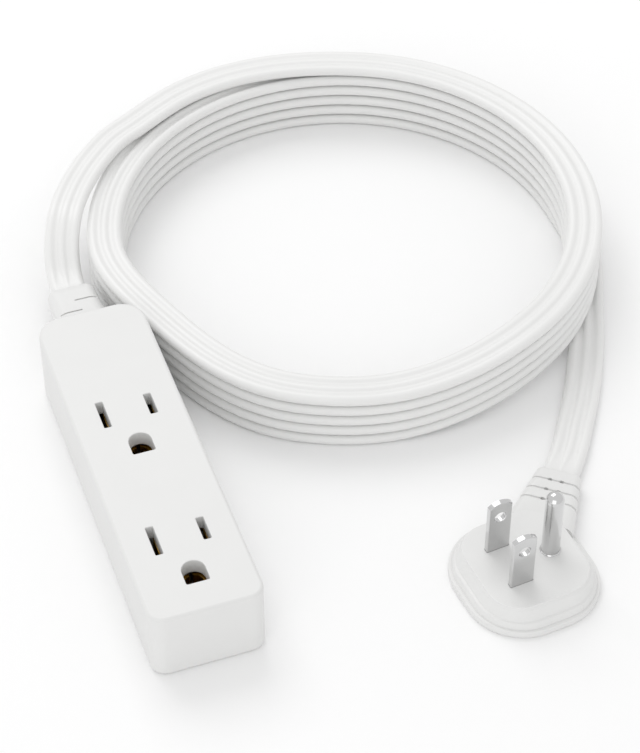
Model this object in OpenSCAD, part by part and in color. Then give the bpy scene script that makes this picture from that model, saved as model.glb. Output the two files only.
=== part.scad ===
// A flat three-core extension cord, in millimetres.
// A socket block with two grounded outlets stands at the origin. Its cord climbs on to a round stack
// of flat turns, comes out under the stack and ends in a low flat plug that lies with its prongs up.
// The origin is the bottom centre of the block, +Y points to its cord end and +Z is up.

/* [Socket block] */
// Length of the block, along the cord
block_l = 110; // [106:1:130]
// Width of the block
block_w = 29.4; // [28.4:0.2:34]
// Height of the block
block_h = 21.2; // [20.8:0.2:26]
// Wall round the sides of the front cover
cover_wall = 2; // [1.6:0.1:2.3]
// Thickness of the face that the slots go through
face_t = 2.4; // [2:0.1:3]
// Depth of the outlets' openings, through the face and the pad behind it
opening_d = 4.3; // [3.8:0.1:4.6]
// Chamfer round the face
face_chamfer = 0.8; // [0.4:0.1:1.4]
// Radius of the upright corners at the free end
end_corner_r = 4; // [3:0.5:6]
// Radius of the upright corners at the cord end
cord_corner_r = 7; // [5:0.5:8]
// Thickness of the rear cover
rear_t = 2; // [1.8:0.1:2.2]
// Radius of the four posts that take the screws
post_r = 2.6; // [2.2:0.1:2.7]
// Radius of a cover screw's shank
screw_r = 1.25; // [1:0.05:1.5]
// Radius of a cover screw's head
screw_head_r = 2.3; // [1.9:0.1:2.5]
// Length of a cover screw's shank above its head
screw_l = 9; // [6:0.5:12]

/* [Outlets] */
// Distance from one outlet's slot line to the next
outlet_pitch = 45.6; // [40:0.2:48]
// Place of the slot line nearer the cord, from the middle of the block
outlet_y = 15.6; // [14:0.2:17]
// Length of the live slot
live_slot_l = 7.4; // [6.8:0.1:8]
// Length of the neutral slot
neutral_slot_l = 9.4; // [8.6:0.1:10]
// Width of both slots
slot_w = 2; // [1.8:0.1:2.4]
// Width of the ground hole
ground_hole_w = 6; // [5.6:0.1:6.8]
// Distance from the middle of the ground hole's arch to its flat side
ground_hole_flat = 4; // [3:0.1:4.4]
// Thickness of the brass strip in the block
bar_t = 0.8; // [0.6:0.05:1]
// Height of the brass bars above the floor
bar_z = 2.8; // [2.5:0.1:3]

/* [Prongs] */
// Distance between the middles of the two blades
blade_pitch = 12.7; // [12.5:0.1:12.9]
// Distance from the blades' line to the middle of the ground pin
blade_to_ground = 11.9; // [11.7:0.1:12.1]
// Width of a blade
blade_w = 6.35; // [6.1:0.05:6.6]
// Thickness of a blade
blade_t = 1.5; // [1.4:0.05:1.6]
// Length of a blade above the plug's face
blade_l = 17; // [15.9:0.1:18.2]
// Rise of the arch at a blade's tip
blade_arch = 1.2; // [0.6:0.1:1.8]
// Radius of the hole near a blade's tip
blade_hole_r = 1.6; // [1.3:0.1:1.8]
// Height of that hole above the plug's face
blade_hole_h = 12; // [11:0.1:12.5]
// Radius of the ground pin
pin_r = 2.38; // [2.3:0.02:2.44]
// Length of the ground pin above the plug's face
pin_l = 20.6; // [19:0.1:21]
// How much wider the ground pin's foot is, all round
pin_foot = 0.32; // [0.2:0.02:0.5]

/* [Plug body] */
// Height of the plug's face above the floor
plug_h = 7.9; // [7.7:0.1:9]
// Size of the plug's flange along the line from the blades to the ground pin
plug_l = 35.8; // [35:0.2:38]
// Size of the flange across that line
plug_w = 37.2; // [36.4:0.2:40]
// Corner radius of the flange
plug_corner_r = 15; // [12:0.5:16]
// Thickness of the back plate
plate_t = 2.2; // [2:0.1:2.6]
// Height of the rim where the shoulder starts
rim_h = 4; // [3.8:0.1:4.8]
// How far the rim lies inside the flange
rim_inset = 2; // [1.8:0.1:2.6]
// How far the raised face lies inside the rim
face_inset = 2; // [1.7:0.1:2.5]
// Height of the step round the raised face
face_step = 0.5; // [0.3:0.1:0.7]
// Middle of the plug body, from the blades' line
plug_centre = 4.8; // [4.4:0.1:5.2]
// Thickness of the plug's face over the prong carrier
plug_face_t = 1.2; // [1:0.1:1.4]
// Thickness of the prong carrier
carrier_t = 1.6; // [1.2:0.1:1.8]

/* [Cord] */
// Width of the flat cord
cord_w = 9.8; // [9.2:0.1:10]
// Thickness of the flat cord
cord_t = 3.2; // [2.9:0.05:3.2]
// Rise from one layer of the coil to the next
layer_pitch = 3.65; // [3.65:0.05:4]
// Layers at the back of the coil
coil_layers = 6; // [3:1:6]
// Radius of the coil at the middle of the cord
coil_r = 68; // [60:0.5:68]
// Middle of the coil, across the block
coil_x = 80; // [80:0.5:90]
// Middle of the coil, along the block
coil_y = 71.3; // [70.8:0.5:79.8]
// How far the turns are pressed in beside the block
coil_press = 4.4; // [4.3:0.1:5]
// How far outside the rest of the coil its first turn starts
coil_lead_in = 4.2; // [0:0.2:4.4]

/* [Strain reliefs] */
// Length of the block's strain relief outside the block
block_relief_l = 19; // [17:0.5:20]
// Its width where it leaves the block
block_relief_w = 16.4; // [15:0.2:16.8]
// Its height where it leaves the block
block_relief_h = 12; // [9:0.2:12.4]
// Width of its neck in the wall of the block
neck_w = 12; // [11.6:0.2:12.6]
// Height of its neck in the wall of the block
neck_h = 6.4; // [5.6:0.2:7]
// Width of the block's strain relief at the tip, where the cord comes out
block_tip_w = 13.6; // [11.4:0.2:14]
// Height of the block's strain relief at the tip
block_tip_h = 6.4; // [4.6:0.2:7]
// Distance from the middle of the plug body to the root of its strain relief
plug_relief_root = 16.4; // [16:0.1:17]
// Distance from the middle of the plug body to the tip of its strain relief
plug_relief_tip = 35; // [32:0.5:37]
// Width of the plug's strain relief at its root
plug_relief_w = 17.2; // [15:0.2:18]
// Width of the plug's strain relief at its tip
plug_tip_w = 12; // [11.4:0.2:13]
// Height of the plug's strain relief at its root
plug_relief_h = 6.6; // [5.6:0.1:7]
// Height of the plug's strain relief at its tip
plug_tip_h = 4.8; // [4:0.1:5.4]
// Width of the grooves between its ribs
rib_groove = 0.8; // [0.5:0.1:1.1]
// Depth of the grooves between its ribs
rib_groove_d = 0.8; // [0.4:0.1:1]

/* [Fits] */
// Clearance between housed pieces
fit_gap = 0.2; // [0.1:0.05:0.25]
// Clearance round a prong, a screw or a copper end
slide_gap = 0.05; // [0.03:0.01:0.1]

/* [Hidden] */

$fn = 48;
white = "whitesmoke";
nickel = "silver";
brass = "goldenrod";
copper = "chocolate";
past = 1;            // how far a cut runs past the face that it goes through
sliver = 0.01;       // thickness of the slabs that a hull joins
corner_steps = 8;    // straight pieces in a quarter of an outline

// Places in the block
half_l = block_l / 2;
half_w = block_w / 2;
inner_y = half_l - cover_wall;
slot_x = blade_pitch / 2;
outlet_lines = [outlet_y, outlet_y - outlet_pitch];
ground_hole_shift = 0.2;   // how much lower the ground hole sits than the pin
ground_drop = blade_to_ground + ground_hole_shift;
cord_z = block_h / 2;
core_pitch = cord_w / 3;
core_r = 1.2;
core_sides = 8;
copper_r = 0.8;
post_sink = 0.3;     // how far a post runs into the side wall
post_end_gap = 0.6;
post_cord_gap = 4;
post_x = half_w - cover_wall - post_r + post_sink;
post_end_y = -(inner_y - post_r - post_end_gap);
post_cord_y = inner_y - cord_corner_r - post_cord_gap;
post_top = block_h - face_t;
screw_head_h = 1.1;
screw_hole_spare = 1;   // how much deeper than its screw a hole is
drive_w = 0.7;
drive_l = 2.6;
drive_d = 0.6;
support_t = 2;
pad_rim = 1.2;       // width of an outlet's pad past its openings
pad_w = 2 * (slot_x + pad_rim) + slot_w;
pad_head = neutral_slot_l / 2 + pad_rim;
pad_foot = ground_drop + ground_hole_flat + pad_rim;
support_l = 17;
pin_pocket_floor = 0.5;

// Brass in the block
leaf_play = 0.2;
leaf_gap = blade_t + leaf_play;
leaf_top = block_h - opening_d - fit_gap;
socket_play = 0.12;
socket_r = pin_r + socket_play;
socket_drop = 0.5;   // how much lower the sockets end than the leaves
socket_top = leaf_top - socket_drop;
socket_slit = 1;
ground_bar_rim = 0.2;
crimp_wall = 0.45;
crimp_bore_r = copper_r + slide_gap;
crimp_r = crimp_bore_r + crimp_wall;
crimp_l = 6;
crimp_to_post = 2;
crimp_sink = 0.3;    // how far a crimp runs into its strip
crimp_y = post_cord_y - post_r - crimp_to_post - crimp_l;
crimp_z = bar_z + bar_t + crimp_r - crimp_sink;
collar_t = 2;
collar_past_w = 3;
collar_past_h = 2.6;
collar_w = neck_w + collar_past_w;
collar_h = neck_h + collar_past_h;
core_straight = 2;   // straight stretch of a core at either end
collar_y = inner_y - fit_gap - collar_t;

// Places in the plug
plug_x = 77.8;
plug_y = -55.9;
plug_yaw = 5.6;
relief_turn = 46;
pin_foot_h = 0.3;
rim_corner_step = 4.2;     // how much tighter each outline's corners are than the one below
raised_corner_step = 2.2;
rim_corner_r = plug_corner_r - rim_corner_step;
raised_corner_r = rim_corner_r - raised_corner_step;
rim_l = plug_l - 2 * rim_inset;
rim_w = plug_w - 2 * rim_inset;
raised_l = rim_l - 2 * face_inset;
raised_w = rim_w - 2 * face_inset;
room_inset = 1.6;
room_corner_r = raised_corner_r - room_inset;
room_floor = 1.4;
carrier_top = plug_h - plug_face_t - slide_gap;
carrier_z = carrier_top - carrier_t;
tail_lift = 0.1;
tail_z = room_floor + tail_lift;
tail_t = 0.6;
tail_w = 2.4;
plug_crimp_l = 3.2;
plug_crimp_sink = 0.15;
plug_crimp_z = tail_z + tail_t + crimp_r - plug_crimp_sink;
tongue_w = 10.6;
tongue_from = 13;
tongue_z = 1.9;
tongue_h = 3;
notch_reach = 2;
shoulder_w = 1.2;
relief_lift = 0.15;
cuff_round = 0.4;              // corner radius of a strain relief, as a share of its height
live_reach = [3.3, 0];         // from each prong to its crimp, along and across the strain relief
neutral_reach = [3.4, -1.5];
ground_reach = [3.7, 5.7];

// A point of the plug, from its middle along and across its strain relief
function from_centre(p) =
    [p[0] - plug_centre, p[1]];
function in_relief(p) =
    [p[0] * cos(relief_turn) + p[1] * sin(relief_turn),
     p[1] * cos(relief_turn) - p[0] * sin(relief_turn)];
live_at = in_relief(from_centre([0, -slot_x]));
neutral_at = in_relief(from_centre([0, slot_x]));
ground_at = in_relief(from_centre([blade_to_ground, 0]));
live_crimp = live_at + live_reach;
neutral_crimp = neutral_at + neutral_reach;
ground_crimp = ground_at + ground_reach;

// A point along the axis of the plug's strain relief, in the part's own frame
function relief_point(along, z) =
    [plug_x + plug_centre * cos(plug_yaw) + along * cos(plug_yaw + relief_turn),
     plug_y + plug_centre * sin(plug_yaw) + along * sin(plug_yaw + relief_turn), z];

// Outline of a rounded rectangle, each end with its own corner radius
function corner(x, y, r, from) =
    [for (i = [0:corner_steps])
        [x + r * cos(from + 90 * i / corner_steps), y + r * sin(from + 90 * i / corner_steps)]];
function rounded(l, w, r_low, r_high) =
    concat(corner(l / 2 - r_high, w / 2 - r_high, r_high, 0),
           corner(r_high - l / 2, w / 2 - r_high, r_high, 90),
           corner(r_low - l / 2, r_low - w / 2, r_low, 180),
           corner(l / 2 - r_low, r_low - w / 2, r_low, 270));

// A tube along points, its section given as [sideways, up] and turned to each point's direction
function unit(v) = v / norm(v);
function heading(route, i) =
    unit(route[min(i + 1, len(route) - 1)] - route[max(i - 1, 0)]);
function sideways(dir) = unit(cross(dir, [0, 0, 1]));
function ring_at(p, dir, section) =
    [for (s = section) p + sideways(dir) * s[0] + cross(sideways(dir), dir) * s[1]];
function rings_of(route, section) =
    [for (i = [0:len(route) - 1]) ring_at(route[i], heading(route, i), section)];
function skin(n, rings) =
    [for (i = [0:rings - 2]) for (j = [0:n - 1]) for (half = [0, 1])
        half == 0 ? [i * n + j, i * n + (j + 1) % n, (i + 1) * n + (j + 1) % n]
                  : [i * n + j, (i + 1) * n + (j + 1) % n, (i + 1) * n + j]];
function caps(n, rings) =
    concat([for (j = [1:n - 2]) [0, j + 1, j]],
           [for (j = [1:n - 2]) [(rings - 1) * n, (rings - 1) * n + j, (rings - 1) * n + j + 1]]);

module tube(rings) {
    n = len(rings[0]);
    polyhedron(points = [for (ring = rings) each ring],
               faces = concat(skin(n, len(rings)), caps(n, len(rings))));
}

round_section = [for (i = [0:core_sides - 1])
    [core_r * cos(360 * (i + 0.5) / core_sides), core_r * sin(360 * (i + 0.5) / core_sides)]];
edge_round = 1.5;
edge_flat = 0.5;
coil_section = [[cord_w / 2, 0], [cord_w / 2 - edge_round, cord_t / 2],
    [edge_round - cord_w / 2, cord_t / 2], [-cord_w / 2, 0],
    [edge_round - cord_w / 2, -cord_t / 2], [cord_w / 2 - edge_round, -cord_t / 2]];
lead_section = [[cord_w / 2, -edge_flat], [cord_w / 2, edge_flat],
    [cord_w / 2 - edge_round, cord_t / 2], [edge_round - cord_w / 2, cord_t / 2],
    [-cord_w / 2, edge_flat], [-cord_w / 2, -edge_flat],
    [edge_round - cord_w / 2, -cord_t / 2], [cord_w / 2 - edge_round, -cord_t / 2]];

// The coil: it starts on the top layer, goes round clockwise and drops one layer in each turn
loop_rings = 24;
coil_start = 120;
drop_from = -60;
drop_turn = 45;
press_at = -160;
press_spread = [33, 40];   // towards the lead and away from it
lead_in_turn = 55;
coil_sweep = 360 * (coil_layers - 1) + coil_start;
coil_steps = coil_sweep * loop_rings / 360;
coil_end_straight = cord_w;
function wrapped(a) = a - 360 * floor((a + 180) / 360);
function swell(off, spread) = abs(off) < spread ? pow(cos(90 * off / spread), 2) : 0;
function pressed(a) =
    coil_press * swell(wrapped(a - press_at), press_spread[wrapped(a - press_at) < 0 ? 0 : 1]);
function eased(s) = s <= 0 ? 0 : s >= 1 ? 1 : s * s * (3 - 2 * s);
function dropped(turned, loop) =
    loop < 0 ? 0
        : eased((turned - (coil_start - drop_from) - 360 * loop) / drop_turn)
            + dropped(turned, loop - 1);
function coil_z(turned) =
    cord_t / 2 + layer_pitch * (coil_layers - 1 - dropped(turned, coil_layers - 2));
function coil_point(turned) =
    let (a = coil_start - turned,
         r = coil_r - pressed(a) + coil_lead_in * swell(turned, lead_in_turn))
        [coil_x + r * cos(a), coil_y + r * sin(a), coil_z(turned)];
coil_points = [for (i = [0:coil_steps]) coil_point(coil_sweep * i / coil_steps)];
coil_from = coil_points[0] - coil_end_straight * [sin(coil_start), -cos(coil_start), 0];
coil_to = coil_points[coil_steps] - coil_end_straight * [0, 1, 0];
coil_route = concat([coil_from], coil_points, [coil_to]);
coil_rings = rings_of(coil_route, coil_section);
coil_gap = min([for (i = [0:len(coil_rings) - loop_rings - 2]) for (near = [-1, 0, 1])
    for (p = coil_rings[i]) for (q = coil_rings[i + loop_rings + near]) norm(p - q)]);
echo(str("Least gap of the coil to itself: ", coil_gap, " mm"));

// The free leads. The block's climbs by shares of the height from its outlet to the top layer.
ride_z = coil_z(0);
relief_end_y = half_l + block_relief_l;
block_lead_plan = [[0, 77.5, 0.02], [0.4, 82.3, 0.15], [2, 89.2, 0.55], [5.1, 96.3, 0.94],
    [9, 103.5, 1], [13.7, 110.4, 1], [19.2, 116.9, 1]];
block_lead_route = concat([[0, relief_end_y, cord_z]],
    [for (p = block_lead_plan) [p[0], p[1], cord_z + (ride_z - cord_z) * p[2]]],
    [coil_from - cord_w * [sin(coil_start), -cos(coil_start), 0], coil_from]);
plug_lead_plan = [[146.2, 50.3], [143.5, 42.9], [140.4, 35.6], [136.6, 27], [132.2, 17],
    [127.1, 6.8], [121.7, -2.8], [116.1, -11.6]];
plug_lead_route = concat([coil_to, coil_to - (cord_w / 2) * [0, 1, 0]],
    [for (p = plug_lead_plan) [p[0], p[1], cord_t / 2]],
    [relief_point(plug_relief_tip + cord_w, cord_t / 2), relief_point(plug_relief_tip, cord_t / 2)]);

module at_plug() {
    translate([plug_x, plug_y, 0])
        rotate([0, 0, plug_yaw])
            children();
}

module at_relief() {
    at_plug()
        translate([plug_centre, 0, 0])
            rotate([0, 0, relief_turn])
                children();
}

module block_outline(inset) {
    polygon(rounded(block_w - 2 * inset, block_l - 2 * inset,
                    end_corner_r - inset, cord_corner_r - inset));
}

module at_posts() {
    for (side = [-1, 1])
        for (y = [post_end_y, post_cord_y])
            translate([side * post_x, y, 0])
                children();
}

// The opening of one outlet, cut down through the face
module outlet_cut() {
    cut_h = opening_d + 2 * past;
    translate([slot_x - slot_w / 2, -live_slot_l / 2, 0])
        cube([slot_w, live_slot_l, cut_h]);
    translate([-slot_x - slot_w / 2, -neutral_slot_l / 2, 0])
        cube([slot_w, neutral_slot_l, cut_h]);
    translate([0, -ground_drop, 0]) {
        cylinder(r = ground_hole_w / 2, h = cut_h);
        translate([-ground_hole_w / 2, -ground_hole_flat, 0])
            cube([ground_hole_w, ground_hole_flat, cut_h]);
    }
}

module block_front_cover() {
    color(white)
        difference() {
            union() {
                difference() {
                    union() {
                        linear_extrude(block_h - face_chamfer)
                            block_outline(0);
                        hull() {
                            translate([0, 0, block_h - face_chamfer])
                                linear_extrude(sliver)
                                    block_outline(0);
                            translate([0, 0, block_h - sliver])
                                linear_extrude(sliver)
                                    block_outline(face_chamfer);
                        }
                    }
                    translate([0, 0, -past])
                        linear_extrude(post_top + past)
                            block_outline(cover_wall);
                }
                at_posts()
                    translate([0, 0, rear_t + fit_gap])
                        cylinder(r = post_r, h = post_top - rear_t);
                for (y = outlet_lines)
                    translate([-pad_w / 2, y - pad_foot, block_h - opening_d])
                        cube([pad_w, pad_foot + pad_head, opening_d - face_t + past]);
            }
            at_posts()
                translate([0, 0, rear_t])
                    cylinder(r = screw_r + slide_gap, h = screw_l);
            for (y = outlet_lines)
                translate([0, y, block_h - opening_d - past])
                    outlet_cut();
            translate([-neck_w / 2 - fit_gap, inner_y - past, -past])
                cube([neck_w + 2 * fit_gap, cover_wall + 2 * past,
                      cord_z + neck_h / 2 + fit_gap + past]);
        }
}

module block_rear_cover() {
    color(white)
        difference() {
            union() {
                linear_extrude(rear_t)
                    block_outline(cover_wall + fit_gap);
                translate([-neck_w / 2, inner_y - past, 0])
                    cube([neck_w, cover_wall + past, cord_z - neck_h / 2 - fit_gap]);
                for (y = [outlet_lines[0] - blade_to_ground / 2, outlet_lines[1] - blade_to_ground / 2])
                    translate([-support_l / 2, y - support_t / 2, 0])
                        cube([support_l, support_t, bar_z - slide_gap]);
            }
            at_posts() {
                translate([0, 0, -past])
                    cylinder(r = screw_head_r + fit_gap, h = screw_head_h + past);
                cylinder(r = screw_r + fit_gap, h = rear_t + past);
            }
            for (y = outlet_lines)
                translate([0, y - ground_drop, pin_pocket_floor])
                    cylinder(r = socket_r + fit_gap, h = rear_t);
        }
}

module block_screws() {
    color(nickel)
        at_posts()
            difference() {
                union() {
                    translate([0, 0, fit_gap])
                        cylinder(r = screw_head_r, h = screw_head_h - fit_gap);
                    cylinder(r = screw_r, h = rear_t + screw_l - screw_hole_spare);
                }
                translate([0, 0, -past])
                    cylinder(r = screw_head_r, h = past + fit_gap);
                for (turn = [0, 90])
                    rotate([0, 0, turn])
                        translate([-drive_l / 2, -drive_w / 2, 0])
                            cube([drive_l, drive_w, drive_d]);
            }
}

// The rolled end of a brass bar, along +Y from the origin
module crimp(length) {
    rotate([-90, 0, 0])
        difference() {
            cylinder(r = crimp_r, h = length);
            translate([0, 0, -past])
                cylinder(r = crimp_bore_r, h = length + 2 * past);
        }
}

// A brass bar whose pairs of leaves grip a blade in each outlet
module blade_bar(x, leaf_l) {
    bar_w = leaf_gap + 2 * bar_t;
    bar_from = outlet_lines[1] - leaf_l / 2;
    color(brass) {
        translate([x - bar_w / 2, bar_from, bar_z])
            cube([bar_w, crimp_y + crimp_l - bar_from, bar_t]);
        for (y = outlet_lines)
            for (side = [-1, 1])
                translate([x + side * (leaf_gap + bar_t) / 2 - bar_t / 2, y - leaf_l / 2, bar_z])
                    cube([bar_t, leaf_l, leaf_top - bar_z]);
        translate([x, crimp_y, crimp_z])
            crimp(crimp_l);
    }
}

module block_live_bar() {
    blade_bar(slot_x, live_slot_l);
}

module block_neutral_bar() {
    blade_bar(-slot_x, neutral_slot_l);
}

module block_ground_bar() {
    bar_w = 2 * (crimp_r + ground_bar_rim);
    bar_from = outlet_lines[1] - ground_drop;
    color(brass)
        difference() {
            union() {
                translate([-bar_w / 2, bar_from, bar_z])
                    cube([bar_w, crimp_y + crimp_l - bar_from, bar_t]);
                for (y = outlet_lines)
                    translate([0, y - ground_drop, bar_z])
                        cylinder(r = socket_r + bar_t, h = socket_top - bar_z);
                translate([0, crimp_y, crimp_z])
                    crimp(crimp_l);
            }
            for (y = outlet_lines)
                translate([0, y - ground_drop, bar_z - past]) {
                    cylinder(r = socket_r, h = socket_top - bar_z + 2 * past);
                    translate([-socket_slit / 2, -socket_r - bar_t - past, past + 2 * bar_t])
                        cube([socket_slit, 2 * (socket_r + bar_t + past), socket_top]);
                }
        }
}

// A slab across a strain relief: the section of a cuff at one place along it
module cuff(w, h) {
    rotate([90, 0, 90])
        linear_extrude(sliver)
            polygon(rounded(w, h, cuff_round * h, cuff_round * h));
}

module block_strain_relief() {
    slot_d = 1.6;
    slot_t = 0.9;
    slot_reach = block_relief_w / 2 + past;
    fall = (block_relief_h - block_tip_h) / 2;
    slot_shares = [0.62, 0.36];
    neck_root = 0.5;
    color(white)
        translate([0, half_l, cord_z])
            rotate([0, 0, 90]) {
                difference() {
                    hull() {
                        translate([slide_gap, 0, 0])
                            cuff(block_relief_w, block_relief_h);
                        translate([block_relief_l - sliver, 0, 0])
                            cuff(block_tip_w, block_tip_h);
                    }
                    for (i = [0, 1])
                        for (face = [-1, 1])
                            translate([slot_shares[i] * block_relief_l, (2 * i - 1) * slot_reach / 2,
                                       face * (block_relief_h / 2 - slot_shares[i] * fall)])
                                cube([slot_t, slot_reach, slot_d], center = true);
                }
                translate([-cover_wall - fit_gap, -neck_w / 2, -neck_h / 2])
                    cube([cover_wall + fit_gap + neck_root, neck_w, neck_h]);
                translate([-cover_wall - fit_gap - collar_t, -collar_w / 2, -collar_h / 2])
                    cube([collar_t, collar_w, collar_h]);
            }
}

// One insulated core from the collar of the strain relief to a bar's crimp
module block_core(offset_x, bar_x) {
    from_y = collar_y;
    to_y = crimp_y + crimp_l;
    color(white)
        tube(rings_of([[offset_x, from_y, cord_z], [offset_x, from_y - core_straight, cord_z],
                       [(offset_x + bar_x) / 2, (from_y + to_y) / 2, (cord_z + crimp_z) / 2],
                       [bar_x, to_y + core_straight, crimp_z], [bar_x, to_y, crimp_z]],
                      round_section));
}

module block_live_core() {
    block_core(core_pitch, slot_x);
}

module block_neutral_core() {
    block_core(-core_pitch, -slot_x);
}

module block_ground_core() {
    block_core(0, 0);
}

module block_copper_ends() {
    color(copper)
        for (x = [-slot_x, 0, slot_x])
            translate([x, crimp_y, crimp_z])
                rotate([-90, 0, 0])
                    cylinder(r = copper_r, h = crimp_l);
}

module cord_lead_block() {
    color(white)
        tube(rings_of(block_lead_route, lead_section));
}

module cord_coil() {
    color(white)
        tube(coil_rings);
}

module cord_lead_plug() {
    color(white)
        tube(rings_of(plug_lead_route, lead_section));
}

// The plug's strain relief between two places along it, drawn in by a depth
module plug_cuff(from, to, inset) {
    span = plug_relief_tip - plug_relief_root;
    hull()
        for (along = [from, to])
            let (share = (along - plug_relief_root) / span,
                 w = plug_relief_w + (plug_tip_w - plug_relief_w) * share - 2 * inset,
                 h = plug_relief_h + (plug_tip_h - plug_relief_h) * share - inset)
                translate([along == to ? along - sliver : along, 0, relief_lift + h / 2])
                    cuff(w, h);
}

module plug_strain_relief() {
    groove_share = [0.33, 0.54, 0.75];
    span = plug_relief_tip - plug_relief_root;
    cuts = concat([plug_relief_root], [for (s = groove_share) plug_relief_root + s * span],
                  [plug_relief_tip]);
    color(white)
        at_relief() {
            for (i = [0:len(cuts) - 2])
                plug_cuff(i == 0 ? cuts[i] : cuts[i] + rib_groove / 2,
                          i == len(cuts) - 2 ? cuts[i + 1] : cuts[i + 1] - rib_groove / 2, 0);
            plug_cuff(plug_relief_root + rib_groove, plug_relief_tip - rib_groove, rib_groove_d);
            translate([tongue_from, -tongue_w / 2, tongue_z])
                cube([plug_relief_root - tongue_from + rib_groove, tongue_w, tongue_h]);
        }
}

// Solid between two rounded outlines at two heights, in the plug's own place
module plug_slope(z_low, l_low, w_low, r_low, z_high, l_high, w_high, r_high) {
    hull() {
        translate([0, 0, z_low])
            linear_extrude(sliver)
                polygon(rounded(l_low, w_low, r_low, r_low));
        translate([0, 0, z_high - sliver])
            linear_extrude(sliver)
                polygon(rounded(l_high, w_high, r_high, r_high));
    }
}

// The space in the plug, with the notch that the strain relief's tongue fills
module plug_room(z_low, z_high, gap) {
    translate([plug_centre, 0, z_low])
        linear_extrude(z_high - z_low)
            polygon(rounded(raised_l - 2 * (room_inset + gap), raised_w - 2 * (room_inset + gap),
                            room_corner_r - gap, room_corner_r - gap));
}

module relief_notch() {
    translate([plug_centre, 0, 0])
        rotate([0, 0, relief_turn]) {
            translate([plug_relief_root - slide_gap, -plug_w, -past])
                cube([plug_l, 2 * plug_w, plug_h + 2 * past]);
            translate([tongue_from - notch_reach, -tongue_w / 2 - fit_gap, tongue_z - fit_gap])
                cube([plug_relief_root - tongue_from + notch_reach, tongue_w + 2 * fit_gap,
                      tongue_h + 2 * fit_gap]);
        }
}

module plug_back_plate() {
    color(white)
        at_plug()
            difference() {
                translate([plug_centre, 0, 0])
                    linear_extrude(plate_t)
                        polygon(rounded(plug_l, plug_w, plug_corner_r, plug_corner_r));
                plug_room(room_floor, plate_t + past, 0);
                relief_notch();
            }
}

// The places of the three prongs, each cut or prong drawn from the blades' line
module prong_holes(gap, z_low, z_high) {
    for (side = [-1, 1])
        translate([-blade_w / 2 - gap, side * slot_x - blade_t / 2 - gap, z_low])
            cube([blade_w + 2 * gap, blade_t + 2 * gap, z_high - z_low]);
    translate([blade_to_ground, 0, z_low])
        cylinder(r = pin_r + pin_foot + gap, h = z_high - z_low);
}

module plug_body() {
    lip_inset = 0.6;
    color(white)
        at_plug()
            difference() {
                translate([plug_centre, 0, 0]) {
                    plug_slope(plate_t + sliver, plug_l - 2 * lip_inset, plug_w - 2 * lip_inset,
                               plug_corner_r - lip_inset, rim_h, rim_l, rim_w, rim_corner_r);
                    plug_slope(rim_h - sliver, rim_l, rim_w, rim_corner_r,
                               plug_h - face_step, raised_l, raised_w, raised_corner_r);
                    translate([0, 0, plug_h - face_step - sliver])
                        linear_extrude(face_step + sliver)
                            polygon(rounded(raised_l, raised_w, raised_corner_r, raised_corner_r));
                }
                plug_room(0, carrier_top + slide_gap, 0);
                prong_holes(slide_gap, carrier_top, plug_h + past);
                relief_notch();
            }
}

module plug_prong_carrier() {
    color(white)
        at_plug()
            difference() {
                plug_room(carrier_z, carrier_top, fit_gap);
                prong_holes(slide_gap, carrier_z - past, plug_h);
            }
}

// A prong's tail from its foot to its crimp, drawn from the middle of the plug body
module tail(foot, crimp_at) {
    reach = crimp_at - foot;
    translate([plug_centre, 0, 0])
        rotate([0, 0, relief_turn]) {
            translate([foot[0], foot[1], tail_z])
                rotate([0, 0, atan2(reach[1], reach[0])])
                    translate([0, -tail_w / 2, 0])
                        cube([norm(reach), tail_w, tail_t]);
            translate([crimp_at[0], crimp_at[1], tail_z])
                translate([-tail_w / 2, -tail_w / 2, 0])
                    cube([plug_crimp_l + tail_w / 2, tail_w, tail_t]);
            translate([crimp_at[0], crimp_at[1], plug_crimp_z])
                rotate([0, 0, -90])
                    crimp(plug_crimp_l);
        }
}

module blade(v, foot, crimp_at) {
    arch_r = (blade_w * blade_w / 4 + blade_arch * blade_arch) / (2 * blade_arch);
    corner_z = plug_h + blade_l - blade_arch;
    color(nickel)
        at_plug() {
            difference() {
                union() {
                    translate([-blade_w / 2, v - blade_t / 2, tail_z])
                        cube([blade_w, blade_t, corner_z - tail_z]);
                    intersection() {
                        translate([-blade_w / 2, v - blade_t / 2, corner_z - past])
                            cube([blade_w, blade_t, blade_arch + past]);
                        translate([0, v - blade_t / 2, plug_h + blade_l - arch_r])
                            rotate([-90, 0, 0])
                                cylinder(r = arch_r, h = blade_t);
                    }
                    translate([-blade_w / 2 - shoulder_w, v - blade_t / 2, tail_z])
                        cube([blade_w + 2 * shoulder_w, blade_t, carrier_z - slide_gap - tail_z]);
                }
                translate([0, v - blade_t / 2 - past, plug_h + blade_hole_h])
                    rotate([-90, 0, 0])
                        cylinder(r = blade_hole_r, h = blade_t + 2 * past);
            }
            tail(foot, crimp_at);
        }
}

module plug_live_blade() {
    blade(-slot_x, live_at, live_crimp);
}

module plug_neutral_blade() {
    blade(slot_x, neutral_at, neutral_crimp);
}

module plug_ground_pin() {
    color(nickel)
        at_plug() {
            translate([blade_to_ground, 0, tail_z])
                cylinder(r = pin_r + pin_foot, h = plug_h - tail_z);
            translate([blade_to_ground, 0, plug_h])
                cylinder(r1 = pin_r + pin_foot, r2 = pin_r, h = pin_foot_h);
            translate([blade_to_ground, 0, plug_h])
                cylinder(r = pin_r, h = pin_l - pin_r);
            translate([blade_to_ground, 0, plug_h + pin_l - pin_r])
                sphere(r = pin_r);
            tail(ground_at, ground_crimp);
        }
}

// One insulated core in the plug, by way of points given along and across the strain relief
module plug_core(way) {
    color(white)
        at_relief()
            tube(rings_of(way, round_section));
}

core_end_gap = 0.1;
core_exit = tongue_from - core_end_gap;
core_z = tongue_z + tongue_h / 2;

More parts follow.
